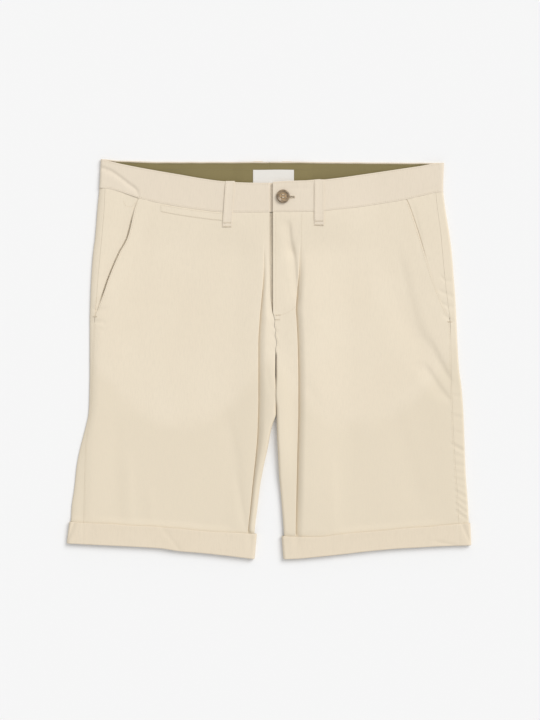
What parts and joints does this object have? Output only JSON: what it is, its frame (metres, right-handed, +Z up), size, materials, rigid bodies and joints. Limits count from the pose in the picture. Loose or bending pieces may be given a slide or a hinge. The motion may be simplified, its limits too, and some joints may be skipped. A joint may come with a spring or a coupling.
{
  "type": "bermuda shorts laid flat",
  "caption": "Chino bermuda shorts with turned-up cuffs, slanted front pockets, a buttoned fly and belt loops, laid flat on their back.",
  "frame": {"origin": "centre of the outline in plan, on the surface that the shorts lie on", "axes": "+Z up out of the front, +Y towards the waist, +X towards the wearer's left"},
  "size_m": [0.5448, 0.5396, 0.0137],
  "materials": {
    "twill": "light sand cotton twill with a faint sheen",
    "facing": "olive cotton twill",
    "label": "plain off-white woven tape",
    "button": "brown horn-effect, polished",
    "thread": "sand sewing thread"
  },
  "bodies": {
    "root": {"front_right": "twill", "front_left": "twill", "back_right": "twill", "back_left": "twill", "pocket_facing_right": "twill", "pocket_facing_left": "twill", "fly_shield": "twill", "cuff_right": "twill", "cuff_left": "twill", "waistband_right": "twill", "waistband_left": "twill", "belt_loop_front_right": "twill", "belt_loop_front_left": "twill", "belt_loop_back_right": "twill", "belt_loop_back_left": "twill", "coin_pocket_welt": "twill", "waistband_facing_right": "facing", "waistband_facing_left": "facing", "waist_label": "label", "button": "button", "button_thread": "thread"}
  },
  "joints": []
}
